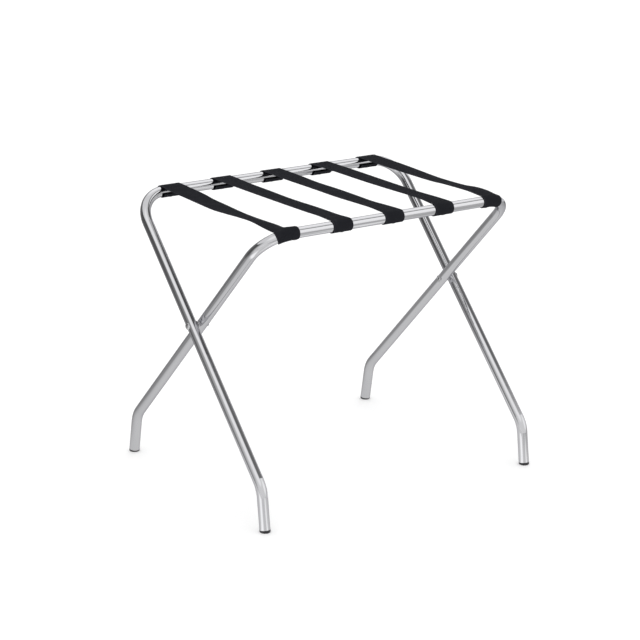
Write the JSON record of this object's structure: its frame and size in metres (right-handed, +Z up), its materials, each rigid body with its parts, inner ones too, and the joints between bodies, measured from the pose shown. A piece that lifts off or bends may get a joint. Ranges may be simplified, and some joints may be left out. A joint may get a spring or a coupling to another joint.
{
  "type": "folding luggage rack",
  "caption": "Folding luggage rack: two crossed bent-tube chrome steel frames on riveted pivots, with black webbing straps across the rails and plugged feet.",
  "frame": {"origin": "on the floor, under the middle of the open rack", "axes": "+X along the rails to the right, +Y from the front rail to the back rail, +Z up"},
  "size_m": [0.6072, 0.4726, 0.5113],
  "materials": {
    "chrome": "bright chrome plate",
    "webbing": "flat black woven nylon webbing",
    "glide": "matt moulded plastic",
    "pivot_steel": "bright nickel-plated steel",
    "strap_rivet": "zinc-plated steel"
  },
  "bodies": {
    "outer_frame": {"outer_frame_tube": "chrome", "glide_front_left": "glide", "glide_front_right": "glide", "strap_rivets_back": "strap_rivet", "pivot_rivet_left": "pivot_steel", "pivot_rivet_right": "pivot_steel", "pivot_spacer_left": "pivot_steel", "pivot_spacer_right": "pivot_steel", "pivot_end_washer_left": "pivot_steel", "pivot_end_washer_right": "pivot_steel", "strap_left": "webbing", "strap_mid_left": "webbing", "strap_middle": "webbing", "strap_mid_right": "webbing", "strap_right": "webbing"},
    "inner_frame": {"inner_frame_tube": "chrome", "glide_back_left": "glide", "glide_back_right": "glide", "strap_rivets_front": "strap_rivet"}
  },
  "joints": [
    {"name": "fold", "type": "hinge", "parent": "outer_frame", "child": "inner_frame", "pos_m": [0, 0, 0.30575], "axis": [-1, 0, 0], "range_deg": [0, 80], "deforming": ["strap_left", "strap_mid_left", "strap_middle", "strap_mid_right", "strap_right"]}
  ]
}
